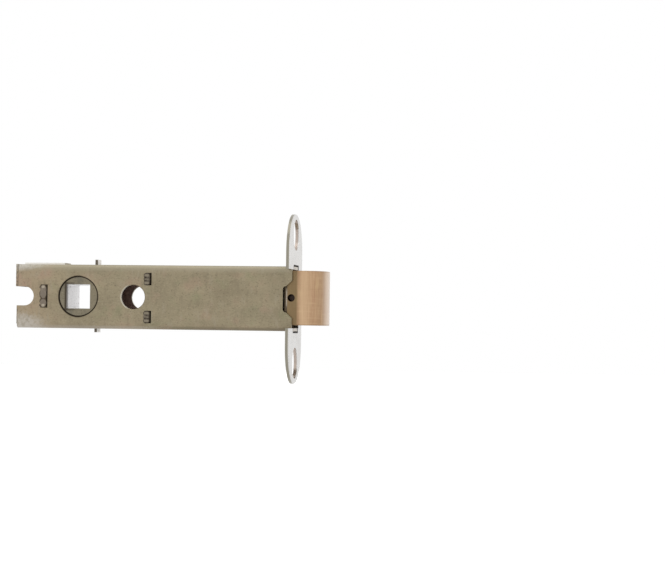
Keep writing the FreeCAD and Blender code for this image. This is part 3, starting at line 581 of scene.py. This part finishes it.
# ---------------------------------------------------------------- coil springs
# Two open coils of bright drawn wire on the line of the bolt: a light one behind it, a heavy one
# between the yoke and the bridge plate. Each is a small circle swept round that line.
wire = Finish("spring_wire", metal=0.9, rough=0.28, colour=(150, 150, 148))
drawn = wire.grain(0.0003, detail=3)
wire.tint((184, 184, 182), wire.between(drawn, 0.52, 0.76), 0.5)
wire.tint((112, 112, 109), wire.between(drawn, 0.46, 0.28), 0.5)
wire.roughness(drawn, 0.22, 0.36)
wire.bump(drawn, 0.00001)
wire_metal = wire.done()
seat_slack = 0.0001
steps_per_turn = 28
for node, body, gauge, turns, joint, keep in (
    ("bolt_spring", "yoke", 0.0008, 7.5, "bolt_slide", 0.43),
    ("lever_spring", "case", 0.0012, 8.5, "yoke_draw", 0.55),
):
    low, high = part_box(node)
    centre_line = (low[2] + high[2]) / 2
    width = high[1] - low[1]
    bpy.ops.object.select_all(action="DESELECT")
    bpy.ops.mesh.primitive_circle_add(
        vertices=16,
        radius=gauge / 2,
        location=(low[0] + gauge / 2, 0, centre_line),
        rotation=(math.radians(90), 0, 0),
    )
    coil = bpy.context.object
    coil.name = node + "_coil"
    bpy.ops.object.transform_apply(location=False, rotation=True, scale=False)
    bpy.ops.object.mode_set(mode="EDIT")
    bpy.ops.mesh.select_all(action="SELECT")
    bpy.ops.transform.translate(value=(0, 0, (width - gauge) / 2))
    bpy.ops.object.mode_set(mode="OBJECT")
    sweep = coil.modifiers.new("sweep", "SCREW")
    sweep.axis = "X"
    sweep.angle = turns * 2 * math.pi
    sweep.screw_offset = high[0] - low[0] - gauge - seat_slack
    sweep.steps = sweep.render_steps = int(turns * steps_per_turn)
    bpy.ops.object.modifier_apply(modifier="sweep")
    bpy.ops.object.mode_set(mode="EDIT")
    bpy.ops.mesh.select_all(action="SELECT")
    bpy.ops.mesh.fill_holes(sides=0)
    bpy.ops.mesh.select_all(action="SELECT")
    bpy.ops.mesh.normals_make_consistent(inside=False)
    bpy.ops.object.mode_set(mode="OBJECT")
    bpy.ops.object.transform_apply(location=True, rotation=True, scale=True)
    bpy.ops.object.shade_smooth_by_angle(angle=math.radians(50))
    coat(coil, wire_metal)
    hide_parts(node)
    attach(coil, body)
    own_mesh(coil)

# ---------------------------------------------------------------- floor and light
# Pale floor well below the latch, a white surround, and three large soft lamps: one beyond the
# forend, one above and one beside the camera. The floor is brightest to the camera.
def combine(tree, operation, first, second):
    """Math node in this tree, of two sockets or of a socket and a number."""
    node = tree.nodes.new("ShaderNodeMath")
    node.operation = operation
    tree.links.new(first, node.inputs[0])
    if isinstance(second, bpy.types.NodeSocket):
        tree.links.new(second, node.inputs[1])
    else:
        node.inputs[1].default_value = second
    return node.outputs[0]


floor_level = -0.12
bpy.ops.object.select_all(action="DESELECT")
bpy.ops.mesh.primitive_plane_add(size=8, location=(0, 0, floor_level))
floor = bpy.context.object
floor.name = "floor"
paper = bpy.data.materials.new("paper")
paper.use_nodes = True
tree = paper.node_tree
matt = tree.nodes["Principled BSDF"]
matt.inputs["Base Color"].default_value = (0.82, 0.82, 0.82, 1)
matt.inputs["Roughness"].default_value = 0.9
seen = tree.nodes.new("ShaderNodeLightPath")
mirrored = combine(tree, "MULTIPLY", seen.outputs["Is Glossy Ray"], 0.3)
direct = combine(tree, "MAXIMUM", seen.outputs["Is Camera Ray"], mirrored)
glow = tree.nodes.new("ShaderNodeEmission")
glow.inputs["Strength"].default_value = 0.7
none = tree.nodes.new("ShaderNodeEmission")
none.inputs["Strength"].default_value = 0
choice = tree.nodes.new("ShaderNodeMixShader")
both = tree.nodes.new("ShaderNodeAddShader")
tree.links.new(direct, choice.inputs[0])
tree.links.new(none.outputs[0], choice.inputs[1])
tree.links.new(glow.outputs[0], choice.inputs[2])
tree.links.new(matt.outputs[0], both.inputs[0])
tree.links.new(choice.outputs[0], both.inputs[1])
tree.links.new(both.outputs[0], tree.nodes["Material Output"].inputs["Surface"])
coat(floor, paper)

world = bpy.data.worlds.new("surround")
bpy.context.scene.world = world
world.use_nodes = True
tree = world.node_tree
white = tree.nodes["Background"]
white.inputs["Color"].default_value = (1, 1, 1, 1)
white.inputs["Strength"].default_value = 1
room = tree.nodes.new("ShaderNodeBackground")
room.inputs["Color"].default_value = (1, 1, 1, 1)
room.inputs["Strength"].default_value = 0.85
seen = tree.nodes.new("ShaderNodeLightPath")
direct = combine(tree, "MAXIMUM", seen.outputs["Is Camera Ray"], seen.outputs["Is Glossy Ray"])
through = combine(tree, "MAXIMUM", direct, seen.outputs["Is Transmission Ray"])
choice = tree.nodes.new("ShaderNodeMixShader")
tree.links.new(through, choice.inputs[0])
tree.links.new(room.outputs[0], choice.inputs[1])
tree.links.new(white.outputs[0], choice.inputs[2])
tree.links.new(choice.outputs[0], tree.nodes["World Output"].inputs["Surface"])

latch_middle = Vector((-0.045, 0, 0))
for name, place, size, power in (
    ("lamp_beyond_forend", (0.45, -0.25, 0.18), 0.35, 0.25),
    ("lamp_above", (-0.05, -0.1, 0.5), 0.4, 0.35),
    ("lamp_by_camera", (-0.25, -0.6, 0.3), 0.5, 0.1),
):
    lamp = bpy.data.objects.new(name, bpy.data.lights.new(name, "AREA"))
    lamp.data.size = size
    lamp.data.energy = power
    lamp.location = place
    aim = latch_middle - lamp.location
    lamp.rotation_euler = aim.to_track_quat("-Z", "Y").to_euler()
    bpy.context.scene.collection.objects.link(lamp)

bpy.context.scene.view_settings.view_transform = "Standard"
